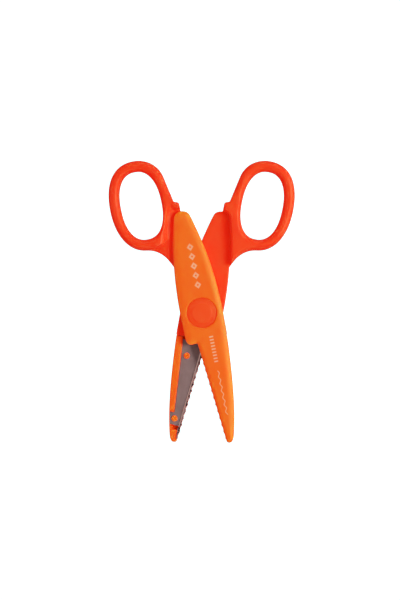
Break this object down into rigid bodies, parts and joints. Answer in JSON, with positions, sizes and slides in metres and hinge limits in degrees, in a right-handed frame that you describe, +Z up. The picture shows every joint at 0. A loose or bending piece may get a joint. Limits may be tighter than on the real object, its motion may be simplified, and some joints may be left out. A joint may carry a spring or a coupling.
{
  "type": "decorative edge scissors",
  "caption": "Paper craft scissors with wavy steel blades, red-orange finger loops, orange blade covers and a round pivot cap, lying part open.",
  "frame": {"origin": "on the pivot axis, at the centre of the lower pivot cap's flat face, in the plane that the scissors lie on", "axes": "+Z up out of the surface along the pivot axis, +Y towards the finger loops, half way between the two halves, -Y towards the tips"},
  "size_m": [0.0894, 0.1351, 0.009],
  "materials": {
    "handle_plastic": "glossy red-orange moulded plastic",
    "cover_plastic": "satin orange moulded plastic",
    "peg_plastic": "orange moulded plastic, formed heads",
    "cap_plastic": "satin red-orange moulded plastic",
    "blade_steel": "brushed stainless steel with a ground edge",
    "pivot_steel": "plain turned and stamped steel",
    "nylon": "natural nylon"
  },
  "bodies": {
    "back_half": {"back_handle": "handle_plastic", "back_blade_cover": "cover_plastic", "back_blade": "blade_steel", "back_blade_pegs": "peg_plastic", "back_pivot_cap": "cap_plastic", "pivot_rivet": "pivot_steel", "friction_washer": "nylon", "wave_washer": "pivot_steel", "flat_washer": "pivot_steel"},
    "front_half": {"front_handle": "handle_plastic", "front_blade_cover": "cover_plastic", "front_blade": "blade_steel", "front_blade_pegs": "peg_plastic", "front_pivot_cap": "cap_plastic"}
  },
  "joints": [
    {"name": "pivot", "type": "hinge", "parent": "back_half", "child": "front_half", "pos_m": [0, 0, 0.0045], "axis": [0, 0, 1], "range_deg": [-23.2, 110]}
  ]
}
